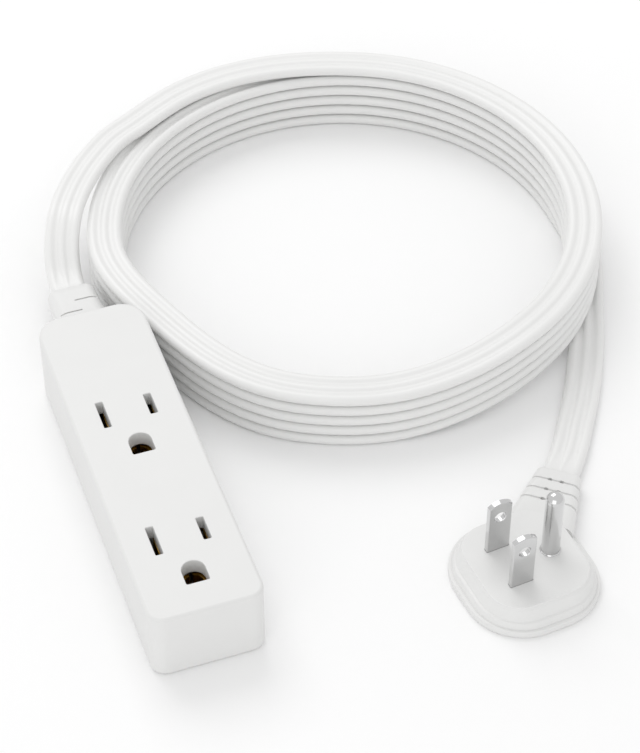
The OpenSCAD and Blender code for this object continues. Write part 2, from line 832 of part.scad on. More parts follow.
module plug_live_core() {
    over_z = tail_z + tail_t + core_r + 0.4;
    plug_core([[live_crimp[0] + plug_crimp_l, live_crimp[1], plug_crimp_z],
               [live_crimp[0] + plug_crimp_l + 1.5, live_crimp[1], plug_crimp_z + 0.2],
               [ground_at[0] + 0.4, live_at[1] + 0.5, over_z],
               [ground_at[0] + 4.1, -core_pitch + 0.3, over_z],
               [core_exit - 1.2, -core_pitch, core_z],
               [core_exit, -core_pitch, core_z]]);
}

module plug_neutral_core() {
    plug_core([[neutral_crimp[0] + plug_crimp_l, neutral_crimp[1], plug_crimp_z],
               [neutral_crimp[0] + plug_crimp_l + 1, neutral_crimp[1], plug_crimp_z],
               [core_exit - 2, core_pitch + 1, core_z],
               [core_exit - 0.8, core_pitch, core_z],
               [core_exit, core_pitch, core_z]]);
}

module plug_ground_core() {
    plug_core([[ground_crimp[0] + plug_crimp_l, ground_crimp[1], plug_crimp_z],
               [core_exit - 0.4, 0.1, core_z],
               [core_exit, 0, core_z]]);
}

module plug_copper_ends() {
    color(copper)
        at_relief()
            for (at = [live_crimp, neutral_crimp, ground_crimp])
                translate([at[0], at[1], plug_crimp_z])
                    rotate([0, 90, 0])
                        cylinder(r = copper_r, h = plug_crimp_l);
}

block_front_cover();
block_rear_cover();
block_screws();
block_live_bar();
block_neutral_bar();
block_ground_bar();
block_strain_relief();
block_live_core();
block_neutral_core();
block_ground_core();
block_copper_ends();
cord_lead_block();
cord_coil();
cord_lead_plug();
plug_strain_relief();
plug_back_plate();
plug_body();
plug_prong_carrier();
plug_live_blade();
plug_neutral_blade();
plug_ground_pin();
plug_live_core();
plug_neutral_core();
plug_ground_core();
plug_copper_ends();
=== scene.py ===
"""A flat three-core extension cord, dressed for the studio.

The cord with its coil, the socket block and the low plug are classes. Sizes are in millimetres, in
the frame of the solids: the origin is the bottom centre of the block, +Y points to its cord end.
"""

import logging
import math
from dataclasses import dataclass
from enum import Enum
from typing import Callable, Iterable, Sequence

import bmesh
import bpy
from mathutils import Matrix, Vector

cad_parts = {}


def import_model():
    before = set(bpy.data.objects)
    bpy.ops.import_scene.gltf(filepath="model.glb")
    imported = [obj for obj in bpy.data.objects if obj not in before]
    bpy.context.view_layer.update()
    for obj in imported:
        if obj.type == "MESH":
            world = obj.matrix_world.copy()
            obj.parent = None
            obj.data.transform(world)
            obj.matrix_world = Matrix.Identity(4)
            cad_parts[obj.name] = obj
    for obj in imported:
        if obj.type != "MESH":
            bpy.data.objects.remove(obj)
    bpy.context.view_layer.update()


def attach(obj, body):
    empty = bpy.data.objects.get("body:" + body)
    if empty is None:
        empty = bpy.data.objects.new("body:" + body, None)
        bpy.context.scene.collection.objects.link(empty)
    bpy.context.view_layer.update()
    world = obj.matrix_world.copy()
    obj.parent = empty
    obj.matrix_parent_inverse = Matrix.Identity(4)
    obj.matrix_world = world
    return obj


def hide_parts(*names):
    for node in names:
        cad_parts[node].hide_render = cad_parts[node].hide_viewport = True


MM = 0.001
BODY = "root"
LOG = logging.getLogger("extension_cord")

# How far a tool runs past the face that it cuts, and a part into what it is joined to.
SPARE = 1.0
# Corner radius of an opening whose corners are sharp.
CRISP = 0.1
# The least corner radius that an outline keeps as it is drawn in.
LEAST_R = 0.05

Flat = tuple[float, float]
Spot = tuple[float, float, float]
Ring = list[Vector]
Piece = bpy.types.Object
Axis = Callable[[float, float], Vector]


# ---------------- finishes


def linear(code: str) -> tuple[float, float, float, float]:
    """Turn an sRGB hex colour into the linear values that a shader takes.

    Args:
        code: Six hex digits.

    Returns:
        Red, green, blue and an alpha of 1.
    """
    parts = [int(code[i : i + 2], 16) / 255 for i in (0, 2, 4)]
    bent = [p / 12.92 if p <= 0.04045 else ((p + 0.055) / 1.055) ** 2.4 for p in parts]
    return (bent[0], bent[1], bent[2], 1.0)


def add_node(
    tree: bpy.types.NodeTree,
    kind: str,
    settings: dict[str, object] | None = None,
    links: dict[str, bpy.types.NodeSocket] | None = None,
) -> bpy.types.Node:
    """Add one node with its settings and links.

    Args:
        tree: The node tree to add to.
        kind: The node's type name.
        settings: Values by input name, or by attribute where no input has that name.
        links: Output sockets by the name of the input that they feed.

    Returns:
        The new node.
    """
    node = tree.nodes.new(kind)
    for name, value in (settings or {}).items():
        if name in node.inputs:
            node.inputs[name].default_value = value
        else:
            setattr(node, name, value)
    for name, socket in (links or {}).items():
        tree.links.new(socket, node.inputs[name])
    return node


class Surface(Enum):
    """How a surface was made, which sets the direction of its fine marks."""

    MOULDED = (1.0, 1.0, 1.0)
    ROLLED = (1.0, 1.0, 0.12)
    DRAWN = (1.0, 1.0, 0.3)


@dataclass(frozen=True)
class Finish:
    """One real material and the way that its surface was made.

    Attributes:
        name: Name of the material.
        slot: The record's material slot; not used.
        colour: sRGB hex colour.
        shade: A second sRGB hex colour, which shows in soft patches.
        rough: Mean roughness.
        rough_span: How far the roughness strays.
        metal: 1 for a metal.
        ior: Refractive index, left at the shader's own value for a metal.
        grain_mm: Size of the fine marks.
        depth_mm: Depth of the fine marks.
        surface: The way that the surface was made.
        relief: How strongly the fine marks bend the light.
        patch: Size of the soft patches, as a multiple of the fine marks.
    """

    name: str
    slot: str
    colour: str
    shade: str
    rough: float
    rough_span: float = 0.04
    metal: float = 0.0
    ior: float = 1.5
    grain_mm: float = 0.7
    depth_mm: float = 0.006
    surface: Surface = Surface.MOULDED
    relief: float = 0.35
    patch: int = 16

    def material(self) -> bpy.types.Material:
        """Make the material, or find it where it has been made.

        Returns:
            The material.
        """
        found = bpy.data.materials.get(self.name)
        if found:
            return found
        made = bpy.data.materials.new(self.name)
        made.use_nodes = True
        tree = made.node_tree
        tree.nodes.clear()
        place = add_node(tree, "ShaderNodeTexCoord").outputs["Object"]
        stretch = {"Scale": self.surface.value}
        spread = add_node(tree, "ShaderNodeMapping", stretch, {"Vector": place})
        grain = add_node(
            tree,
            "ShaderNodeTexNoise",
            {"Scale": 1 / (self.grain_mm * MM), "Detail": 3.0, "Roughness": 0.55},
            {"Vector": spread.outputs["Vector"]},
        ).outputs["Fac"]
        patches = add_node(
            tree,
            "ShaderNodeTexNoise",
            {"Scale": 1 / (self.patch * self.grain_mm * MM), "Detail": 2.0},
            {"Vector": place},
        ).outputs["Fac"]
        tint = add_node(tree, "ShaderNodeMix", {"data_type": "RGBA"}, {"Factor": patches})
        colours = [s for s in tint.inputs if s.type == "RGBA"]
        colours[0].default_value = linear(self.colour)
        colours[1].default_value = linear(self.shade)
        sheen = add_node(
            tree,
            "ShaderNodeMapRange",
            {"To Min": self.rough - self.rough_span, "To Max": self.rough + self.rough_span},
            {"Value": grain},
        )
        bump = add_node(
            tree,
            "ShaderNodeBump",
            {"Strength": self.relief, "Distance": self.depth_mm * MM},
            {"Height": grain},
        )
        mixed = next(s for s in tint.outputs if s.type == "RGBA")
        shader = add_node(
            tree,
            "ShaderNodeBsdfPrincipled",
            {"Metallic": self.metal},
            {
                "Base Color": mixed,
                "Roughness": sheen.outputs["Result"],
                "Normal": bump.outputs["Normal"],
            },
        )
        if not self.metal:
            shader.inputs["IOR"].default_value = self.ior
        add_node(tree, "ShaderNodeOutputMaterial", links={"Surface": shader.outputs["BSDF"]})
        return made


# Injection-moulded ABS from a finely eroded tool: a clean white with a soft satin light.
COVER_ABS = Finish("injection_moulded_abs", "abs_white", "E2E2E1", "DFDFDE", 0.42, ior=1.53)
# Soft PVC moulded over the plug and the strain reliefs: a shade lighter than the ABS.
MOULDED_PVC = Finish("overmoulded_pvc", "pvc_white", "E4E4E3", "E1E1E0", 0.4, ior=1.53)
# Extruded PVC jacket: smoother along the cord, so that each lobe carries a long soft highlight.
JACKET_PVC = Finish(
    "extruded_pvc_jacket", "pvc_white", "E9E9E8", "E6E6E5", 0.36, ior=1.53, grain_mm=1.1
)
# Nickel plate on stamped brass: bright, nearly a mirror, with faint rolling marks up the blade.
NICKEL = Finish(
    "nickel_plated_brass", "nickel", "D9D9D9", "CFCFCF", 0.15, 0.03,
    metal=1.0, grain_mm=0.4, depth_mm=0.0015, surface=Surface.ROLLED,
)
# Brass strip as it comes off the press, a warm yellow that is seen only through the openings.
STRIP_BRASS = Finish(
    "stamped_brass", "brass", "C9A14E", "B98F3F", 0.32, metal=1.0, surface=Surface.ROLLED
)
# Zinc-plated steel screws, with a dull blue-grey shine.
ZINC_STEEL = Finish("zinc_plated_steel", "steel", "BCC0C4", "A9ADB2", 0.38, metal=1.0)
# Bare drawn copper strands at the ends of the cores.
COPPER = Finish("drawn_copper", "copper", "C77B52", "B56B44", 0.3, metal=1.0, surface=Surface.DRAWN)
# Core insulation: extruded PVC in the three colours of its trade.
LIVE_PVC = Finish("black_core_pvc", "core_black", "1B1B1C", "232324", 0.45, ior=1.53)
NEUTRAL_PVC = Finish("white_core_pvc", "core_white", "E9E9E5", "E2E2DE", 0.45, ior=1.53)
GROUND_PVC = Finish("green_core_pvc", "core_green", "1F6B34", "1A5F2E", 0.45, ior=1.53)


# ---------------- shapes


def held(value: float) -> float:
    """Hold a value between 0 and 1."""
    return min(max(value, 0.0), 1.0)


def taper(ends: Flat, share: float) -> float:
    """Give a size that changes evenly from one end to the other."""
    return ends[0] + (ends[1] - ends[0]) * share


def at(x: float, y: float, z: float = 0.0) -> Matrix:
    """Give the move to a place."""
    return Matrix.Translation((x, y, z))


def rotation(angle: float, axis: str = "Z") -> Matrix:
    """Give the turn about an axis by an angle in degrees."""
    return Matrix.Rotation(math.radians(angle), 4, axis)


def arc(r: float, turn: float, steps: int) -> list[Flat]:
    """Walk an arc about the origin, from the X axis.

    Args:
        r: Its radius.
        turn: The angle in radians that it goes through.
        steps: Straight pieces in it.

    Returns:
        The points, one more than the steps.
    """
    turns = [turn * i / steps for i in range(steps + 1)]
    return [(r * math.cos(t), r * math.sin(t)) for t in turns]


def round_corner(x: float, y: float, r: float, start: float, steps: int) -> list[Flat]:
    """Walk a quarter of a circle.

    Args:
        x, y: Its centre.
        r: Its radius.
        start: The angle in degrees at which it starts.
        steps: Straight pieces in the quarter.

    Returns:
        The points, one more than the steps.
    """
    turns = [math.radians(start + 90 * i / steps) for i in range(steps + 1)]
    return [(x + r * math.cos(t), y + r * math.sin(t)) for t in turns]


@dataclass(frozen=True)
class RoundedPlan:
    """The outline of a rounded rectangle whose two ends may have their own corner radii.

    Attributes:
        along_x, along_y: Sizes along X and along Y.
        r_low, r_high: Corner radii at the low and at the high Y end.
        steps: Straight pieces in each corner.
    """

    along_x: float
    along_y: float
    r_low: float
    r_high: float
    steps: int = 10

    @classmethod
    def disc(cls, r: float, steps: int) -> "RoundedPlan":
        """Give a round outline."""
        return cls(2 * r, 2 * r, r, r, steps)

    def points(self, inset: float = 0.0) -> list[Flat]:
        """Walk the outline, drawn in by a distance.

        Args:
            inset: How far the outline is drawn in.

        Returns:
            The points, anticlockwise, always as many.
        """
        x, y = self.along_x / 2 - inset, self.along_y / 2 - inset
        low, high = max(self.r_low - inset, LEAST_R), max(self.r_high - inset, LEAST_R)
        return (
            round_corner(x - high, y - high, high, 0, self.steps)
            + round_corner(high - x, y - high, high, 90, self.steps)
            + round_corner(low - x, low - y, low, 180, self.steps)
            + round_corner(x - low, low - y, low, 270, self.steps)
        )


def fillet(r: float, z: float, upward: bool, steps: int = 5) -> list[Flat]:
    """Give the insets and heights of a rounded edge.

    Args:
        r: Radius of the edge.
        z: Height of the face that the edge runs into.
        upward: True for the edge below a top face, False for the one above a bottom face.
        steps: Straight pieces in the edge.

    Returns:
        Pairs of inset and height, from the bottom up.
    """
    turns = [math.pi / 2 * i / steps for i in range(steps + 1)]
    if upward:
        return [(r * (1 - math.cos(t)), z - r * (1 - math.sin(t))) for t in turns]
    return [(r * (1 - math.sin(t)), z + r * (1 - math.cos(t))) for t in turns]


def swell(off: float, spread: float) -> float:
    """Give a smooth bump: 1 in its middle and 0 from its spread on.

    Args:
        off: Distance from the middle.
        spread: Distance at which the bump has run out.

    Returns:
        A share from 0 to 1.
    """
    return math.cos(math.radians(90 * off / spread)) ** 2 if abs(off) < spread else 0.0


def smooth_through(points: Sequence[Vector], cuts: int) -> list[Vector]:
    """Run a smooth curve through points, even where they lie unevenly apart.

    Args:
        points: The points.
        cuts: Straight pieces in each span.

    Returns:
        The curve's points, the given ones among them.
    """
    ends = [2 * points[0] - points[1], *points, 2 * points[-1] - points[-2]]
    out: list[Vector] = []
    for a, b, c, d in zip(ends, ends[1:], ends[2:], ends[3:]):
        t1 = math.sqrt((b - a).length)
        t2 = t1 + math.sqrt((c - b).length)
        t3 = t2 + math.sqrt((d - c).length)
        out.append(b.copy())
        for i in range(1, cuts):
            t = t1 + (t2 - t1) * i / cuts
            ab = a.lerp(b, t / t1)
            bc = b.lerp(c, (t - t1) / (t2 - t1))
            cd = c.lerp(d, (t - t2) / (t3 - t2))
            abc = ab.lerp(bc, t / t2)
            bcd = bc.lerp(cd, (t - t1) / (t3 - t1))
            out.append(abc.lerp(bcd, (t - t1) / (t2 - t1)))
    out.append(points[-1].copy())
    return out


# ---------------- meshes


def rings_up(outline: Callable[[float], list[Flat]], levels: Iterable[Flat]) -> list[Ring]:
    """Stack an outline at several heights.

    Args:
        outline: Gives the outline's points for an inset.
        levels: Pairs of inset and height.

    Returns:
        One ring for each level.
    """
    return [[Vector((x, y, z)) for x, y in outline(inset)] for inset, z in levels]


def skinned(name: str, rings: Sequence[Ring], place: Matrix | None = None) -> Piece:
    """Skin a stack of rings into a closed piece.

    Args:
        name: Name of the piece.
        rings: Rings of as many points each, in millimetres.
        place: Where the piece goes, in millimetres.

    Returns:
        The piece, in metres.
    """
    made = bmesh.new()
    rows = [[made.verts.new(p) for p in ring] for ring in rings]
    count = len(rows[0])
    for low, high in zip(rows, rows[1:]):
        for i in range(count):
            j = (i + 1) % count
            made.faces.new((low[i], low[j], high[j], high[i]))
    made.faces.new(list(reversed(rows[0])))
    made.faces.new(rows[-1])
    if place is not None:
        made.transform(place)
    made.transform(Matrix.Scale(MM, 4))
    bmesh.ops.recalc_face_normals(made, faces=made.faces)
    mesh = bpy.data.meshes.new(name)
    made.to_mesh(mesh)
    made.free()
    piece = bpy.data.objects.new(name, mesh)
    bpy.context.scene.collection.objects.link(piece)
    return piece


def prism(name: str, plan: RoundedPlan, span: Flat, place: Matrix) -> Piece:
    """Make a straight block of one outline, to join or to cut out.

    Args:
        name: Name of the block.
        plan: Its outline.
        span: Heights of its bottom and its top.
        place: Where it goes, in millimetres.

    Returns:
        The block.
    """
    return skinned(name, rings_up(plan.points, [(0, z) for z in span]), place)


def carve(
    piece: Piece,
    cuts: Sequence[Piece],
    adds: Sequence[Piece] = (),
) -> None:
    """Join pieces to a piece and cut others out of it, then drop them all.

    Args:
        piece: The piece that stays.
        cuts: Pieces to cut out.
        adds: Pieces to join first.
    """
    for tool, deed in [(a, "UNION") for a in adds] + [(c, "DIFFERENCE") for c in cuts]:
        step = piece.modifiers.new("carve", "BOOLEAN")
        step.operation = deed
        step.solver = "EXACT"
        step.object = tool
    seen = piece.evaluated_get(bpy.context.evaluated_depsgraph_get())
    mesh = bpy.data.meshes.new_from_object(seen)
    mesh.name = piece.name
    piece.modifiers.clear()
    old = piece.data
    piece.data = mesh
    bpy.data.meshes.remove(old)
    for tool in (*adds, *cuts):
        spare = tool.data
        bpy.data.objects.remove(tool)
        bpy.data.meshes.remove(spare)


def dress(
    piece: Piece, finish: Finish, nodes: Sequence[str], crease: float = 32.0
) -> Piece:
    """Give a new piece its finish, its shading and its place in the frame.

    Args:
        piece: The piece.
        finish: Its finish.
        nodes: The solids that it stands for.
        crease: The angle in degrees past which an edge stays sharp.

    Returns:
        The same piece.
    """
    mesh = piece.data
    mesh.materials.clear()
    mesh.materials.append(finish.material())
    mesh.shade_smooth()
    mesh.set_sharp_from_angle(angle=math.radians(crease))
    weigh = piece.modifiers.new("weigh", "WEIGHTED_NORMAL")
    weigh.keep_sharp = True
    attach(piece, BODY)
    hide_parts(*nodes)
    LOG.info("%s: %d faces, %s", piece.name, len(mesh.polygons), finish.name)
    return piece


def dress_solids(finishes: dict[str, Finish]) -> list[str]:
    """Give the housed solids their finishes.

    Args:
        finishes: The finish of each solid, by its name.

    Returns:
        The names of the solids.
    """
    for node, finish in finishes.items():
        solid = bpy.data.objects[node]
        solid.data.materials.clear()
        solid.data.materials.append(finish.material())
        LOG.info("%s: kept as built, %s", node, finish.name)
    return list(finishes)


# ---------------- cord


@dataclass
class FlatCord:
    """The cord from the block's strain relief, round the coil, to the plug's strain relief.

    Angles are in degrees, anticlockwise from the X axis about the middle of the coil.

    Attributes:
        plug_axis: Gives a point along the axis of the plug's strain relief, at a height.
        plug_tip: Distance along that axis from the middle of the plug to the relief's tip.
        width, thickness: Sizes of the cord.
        lobe_gap: Distance from one lobe's middle to the next.
        web: Half the thickness of the web between two lobes.
        full_web: Half the thickness of the full web at the ends, as a share of a lobe's radius.
        full_l, fade_l: Length at each end over which the web is full, and over which it thins.
        layer_pitch: Rise from one layer of the coil to the next.
        layers: Layers at the back of the coil.
        coil_r: Radius of the coil at the middle of the cord.
        coil_x, coil_y: Middle of the coil, across and along the block.
        coil_press, press_at: How far the turns are pressed in beside the block, and where most.
        press_spread: Angles over which the press runs out, before and after.
        coil_lead_in: How far outside the rest of the coil its first turn starts.
        lead_in_turn: Turn over which that turn comes in.
        coil_start: Angle at which the coil starts.
        drop_from, drop_turn: Angle at which each turn comes down a layer, and the turn it takes.
        coil_step: Turn from one ring of the coil to the next.
        lead_cuts: Straight pieces between two points of a lead.
        run_in: How far the cord runs into each strain relief.
        exit_y, exit_z: Where the cord leaves the block's strain relief, and at which height.
        length_m: Its real length; not used.
    """

    plug_axis: Axis
    plug_tip: float
    width: float = 9.8
    thickness: float = 3.2
    lobe_gap: float = 3.3
    web: float = 1.05
    full_web: float = 0.96
    full_l: float = 3.5
    fade_l: float = 7.0
    layer_pitch: float = 3.65
    layers: int = 6
    coil_r: float = 68.0
    coil_x: float = 80.0
    coil_y: float = 71.3
    coil_press: float = 4.4
    press_at: float = -160.0
    press_spread: Flat = (33.0, 40.0)
    coil_lead_in: float = 4.2
    lead_in_turn: float = 55.0
    coil_start: float = 120.0
    drop_from: float = -60.0
    drop_turn: float = 45.0
    coil_step: float = 4.0
    lead_cuts: int = 5
    run_in: float = 2.0
    exit_y: float = 74.0
    exit_z: float = 10.6
    length_m: float = 2.46

    def sweep(self) -> float:
        """Give how far the coil goes round, in degrees."""
        return 360 * (self.layers - 1) + self.coil_start

    def pressed(self, angle: float) -> float:
        """Give how far the turns are pressed in at an angle."""
        off = (angle - self.press_at + 180) % 360 - 180
        return self.coil_press * swell(off, self.press_spread[0 if off < 0 else 1])

    def dropped(self, turned: float) -> float:
        """Count the layers that the cord has come down.

        Args:
            turned: How far it has gone round, in degrees.

        Returns:
            The layers, with a smooth step in each turn.
        """
        first = self.coil_start - self.drop_from
        total = 0.0
        for loop in range(self.layers - 1):
            share = held((turned - first - 360 * loop) / self.drop_turn)
            total += share * share * (3 - 2 * share)
        return total

    def coil_point(self, turned: float) -> Vector:
        """Give a point of the coil.

        Args:
            turned: How far the cord has gone round, in degrees.

        Returns:
            The point.
        """
        angle = self.coil_start - turned
        r = self.coil_r - self.pressed(angle) + self.coil_lead_in * swell(turned, self.lead_in_turn)
        z = self.thickness / 2 + self.layer_pitch * (self.layers - 1 - self.dropped(turned))
        turn = math.radians(angle)
        return Vector((self.coil_x + r * math.cos(turn), self.coil_y + r * math.sin(turn), z))

    def block_lead(self) -> list[Vector]:
        """Give the points from the block's strain relief to the coil.

        Returns:
            The route's points. The plan holds x, y and the share of the rise to the top layer.
        """
        plan = [(0, 77.5, 0.02), (0.4, 82.3, 0.15), (2, 89.2, 0.55), (5.1, 96.3, 0.94)]
        plan += [(9, 103.5, 1), (13.7, 110.4, 1), (19.2, 116.9, 1)]
        start = self.coil_point(0)
        turn = math.radians(self.coil_start)
        back = self.width * Vector((math.sin(turn), -math.cos(turn), 0))
        exits = [Vector((0, self.exit_y - inside, self.exit_z)) for inside in (self.run_in, 0)]
        rise = [Vector((x, y, taper((self.exit_z, start.z), share))) for x, y, share in plan]
        return [*exits, *rise, start - 2 * back, start - back]

    def plug_lead(self) -> list[Vector]:
        """Give the points from the coil to the plug's strain relief.

        Returns:
            The route's points, which lie on the floor.
        """
        plan = [(146.2, 50.3), (143.5, 42.9), (140.4, 35.6), (136.6, 27)]
        plan += [(132.2, 17), (127.1, 6.8), (121.7, -2.8), (116.1, -11.6)]
        low = self.thickness / 2
        end = self.coil_point(self.sweep())
        down = Vector((0, -self.width, 0))
        outside = (self.width, 0, -self.run_in)
        ends = [self.plug_axis(self.plug_tip + past, low) for past in outside]
        return [end + down, end + 1.5 * down, *(Vector((x, y, low)) for x, y in plan), *ends]

    def route(self) -> list[Vector]:
        """Join the leads and the coil in one smooth route.

        Returns:
            The points of the whole cord.
        """
        count = round(self.sweep() / self.coil_step)
        coil = [self.coil_point(i * self.coil_step) for i in range(count + 1)]
        lead = self.block_lead()
        first = smooth_through(lead + coil[:2], self.lead_cuts)
        last = smooth_through(coil[-2:] + self.plug_lead(), self.lead_cuts)
        return first[: self.lead_cuts * len(lead)] + coil + last[self.lead_cuts + 1 :]

    def section(self, bare: float) -> list[Flat]:
        """Walk the section: three round lobes side by side on a web.

        Args:
            bare: 0 in the mouth of a strain relief, where the web is full, and 1 clear of it.

        Returns:
            The points, sideways and up.
        """
        r = self.thickness / 2
        web = taper((self.full_web * r, self.web), bare)
        nick = math.degrees(math.asin(web / r))
        steps = 6
        top: list[Flat] = []
        for place in (1, 0, -1):
            start = 0.0 if place == 1 else nick
            stop = 180.0 if place == -1 else 180.0 - nick
            for i in range(steps + 1):
                turn = math.radians(start + (stop - start) * i / steps)
                top.append((place * self.lobe_gap + r * math.cos(turn), r * math.sin(turn)))
        return top + [(-x, -y) for x, y in top[1:-1]]

    def build(self) -> None:
        """Build the cord and say what it is.
        """
        route = self.route()
        rings = []
        for i, point in enumerate(route):
            from_end = min((point - route[0]).length, (point - route[-1]).length)
            outline = self.section(held((from_end - self.full_l) / self.fade_l))
            along = (route[min(i + 1, len(route) - 1)] - route[max(i - 1, 0)]).normalized()
            side = along.cross(Vector((0, 0, 1))).normalized()
            up = side.cross(along)
            rings.append([point + side * x + up * y for x, y in outline])
        cord = skinned("flat_cord", rings)
        dress(cord, JACKET_PVC, ("cord_lead_block", "cord_coil", "cord_lead_plug"), crease=50)


# ---------------- socket block


@dataclass
class SocketBlock:
    """The block with its two outlets, its strain relief and what it houses.

    Attributes:
        length, width, height: Sizes of the block.
        wall: Wall round the sides.
        face: Thickness of the face with the slots.
        rear: Thickness of the rear cover, which lies inside the walls.
        edge, foot_edge: Radii of the edges round the face and round the bottom.
        end_r, cord_end_r: Corner radii at the far end and at the cord's end.
        opening_d: Depth of the openings, through the face and the pad behind it.
        mouth: Radius of the openings' rounded mouths.
        pad_rim, pad_r: How far a pad reaches past its openings, and its corner radius.
        slot_lines: Places of the two slot lines.
        slot_x: Distance of a slot from the middle.
        slot_w, slot_r: Width and corner radius of a slot.
        live_l, neutral_l: Lengths of a live and of a neutral slot.
        ground_drop: Distance from the slot line to the middle of the ground hole's arch.
        ground_w: Width of the ground hole.
        ground_flat: Distance from the middle of the arch to the flat side.
        ground_r: Corner radius at the flat side.
        post_x, post_ys: Places of the screw posts, to each side of the middle and along the block.
        post_r: Radius of a screw post.
        pilot_r, pilot_d: Radius and depth of the screw's hole in it.
        cord_z: Height of the cord's middle.
        neck_w, neck_up: Width of the cord's way out, and its height above the cord's middle.
        collar: Width and height of the strain relief's collar inside the wall.
        collar_t, collar_back: Thickness of the collar, and distance from the wall to its back.
        throat: Width and height of the strain relief where it passes through the wall.
        throat_past: How far the throat reaches out of the wall.
        relief_l: Length of the strain relief outside the block.
        relief_w, relief_h: Width and height of the strain relief, at the block and at its tip.
        relief_waist: Four times the share of its size that the strain relief loses halfway.
        relief_soft: Corner radius of the strain relief, as a share of its height.
        relief_tip: How far the tip's last ring is drawn in.
        flex_shares: Places of the flexing slots at -X and at +X, along the strain relief.
        flex_w, flex_d: Width and depth of a flexing slot.
    """

    length: float = 110.0
    width: float = 29.4
    height: float = 21.2
    wall: float = 2.0
    face: float = 2.4
    rear: float = 2.2
    edge: float = 0.9
    foot_edge: float = 1.2
    end_r: float = 4.0
    cord_end_r: float = 7.0
    opening_d: float = 4.3
    mouth: float = 0.25
    pad_rim: float = 1.2
    pad_r: float = 0.4
    slot_lines: Flat = (15.6, -30.0)
    slot_x: float = 6.35
    slot_w: float = 2.0
    slot_r: float = 0.3
    live_l: float = 7.4
    neutral_l: float = 9.4
    ground_drop: float = 12.1
    ground_w: float = 6.0
    ground_flat: float = 4.0
    ground_r: float = 0.5
    post_x: float = 10.4
    post_ys: Flat = (-49.8, 42.0)
    post_r: float = 2.6
    pilot_r: float = 1.3
    pilot_d: float = 9.0
    cord_z: float = 10.6
    neck_w: float = 12.4
    neck_up: float = 3.4
    collar: Flat = (15.0, 9.0)
    collar_t: float = 2.0
    collar_back: float = 2.2
    throat: Flat = (12.0, 6.4)
    throat_past: float = 0.06
    relief_l: float = 19.0
    relief_w: Flat = (16.4, 13.6)
    relief_h: Flat = (12.0, 6.4)
    relief_waist: float = 0.25
    relief_soft: float = 0.4
    relief_tip: float = 0.6
    flex_shares: Flat = (0.36, 0.62)
    flex_w: float = 0.6
    flex_d: float = 1.2

    def plan(self, inset: float) -> list[Flat]:
        """Walk the block's outline, drawn in by a distance."""
        return RoundedPlan(self.width, self.length, self.end_r, self.cord_end_r).points(inset)

    def mouth_levels(self) -> list[Flat]:
        """Give the growth and height of an opening whose mouth is rounded."""
        low, high = self.height - self.opening_d - SPARE, self.height + SPARE
        return [(0.0, low), *fillet(self.mouth, self.height, True, 4), (self.mouth, high)]

    def ground_outline(self, grow: float) -> list[Flat]:
        """Walk the ground hole: an arch towards the slots over a flat side.

        Args:
            grow: How far the outline is drawn out.

        Returns:
            The points.
        """
        r, soft = self.ground_w / 2 + grow, self.ground_r
        foot = self.ground_flat + grow
        left = round_corner(soft - r, soft - foot, soft, 180, 4)
        right = round_corner(r - soft, soft - foot, soft, 270, 4)
        return arc(r, math.pi, 20) + left + right

    def openings(self, line: float) -> list[Piece]:
        """Make the tools that cut one outlet's slots and its ground hole.

        Args:
            line: Place of the outlet's slot line.

        Returns:
            The tools.
        """
        tools = []
        for x, length in ((self.slot_x, self.live_l), (-self.slot_x, self.neutral_l)):
            shape = RoundedPlan(self.slot_w, length, self.slot_r, self.slot_r, 4)
            rings = rings_up(lambda grow: shape.points(-grow), self.mouth_levels())
            tools.append(skinned("slot", rings, at(x, line)))
        rings = rings_up(self.ground_outline, self.mouth_levels())
        return [*tools, skinned("ground_hole", rings, at(0, line - self.ground_drop))]

    def pad(self, line: float, top: float) -> Piece:
        """Make the pad behind the face that makes one outlet's openings deeper.

        Args:
            line: Place of the outlet's slot line.
            top: The height to which the pad runs.

        Returns:
            The pad.
        """
        width = 2 * (self.slot_x + self.pad_rim) + self.slot_w
        head = self.neutral_l / 2 + self.pad_rim
        foot = self.ground_drop + self.ground_flat + self.pad_rim
        shape = RoundedPlan(width, head + foot, self.pad_r, self.pad_r, 3)
        spot = at(0, line + (head - foot) / 2)
        return prism("pad", shape, (self.height - self.opening_d, top), spot)

    def cover(self) -> Piece:
        """Build the front cover with its openings, room, screw posts and way out for the cord.

        Returns:
            The cover.
        """
        levels = fillet(self.foot_edge, 0, False) + fillet(self.edge, self.height, True)
        cover = skinned("socket_block_cover", rings_up(self.plan, levels))
        roof = self.height - self.face
        room = [(self.wall, -2 * SPARE), (self.wall, roof)]
        carve(cover, [skinned("room", rings_up(self.plan, room))])
        post, pilot = RoundedPlan.disc(self.post_r, 6), RoundedPlan.disc(self.pilot_r, 5)
        spots = [at(x, y) for x in (-self.post_x, self.post_x) for y in self.post_ys]
        adds = [prism("post", post, (self.rear, roof + SPARE), spot) for spot in spots]
        cuts = [prism("pilot", pilot, (0, self.rear + self.pilot_d), spot) for spot in spots]
        neck = RoundedPlan(self.neck_w, 2 * (self.wall + SPARE), CRISP, CRISP, 2)
        way_out = at(0, self.length / 2 - self.wall / 2)
        cuts.append(prism("neck", neck, (-2 * SPARE, self.cord_z + self.neck_up), way_out))
        for line in self.slot_lines:
            adds.append(self.pad(line, roof + SPARE))
            cuts += self.openings(line)
        carve(cover, cuts, adds)
        return dress(cover, COVER_ABS, ("block_front_cover",))

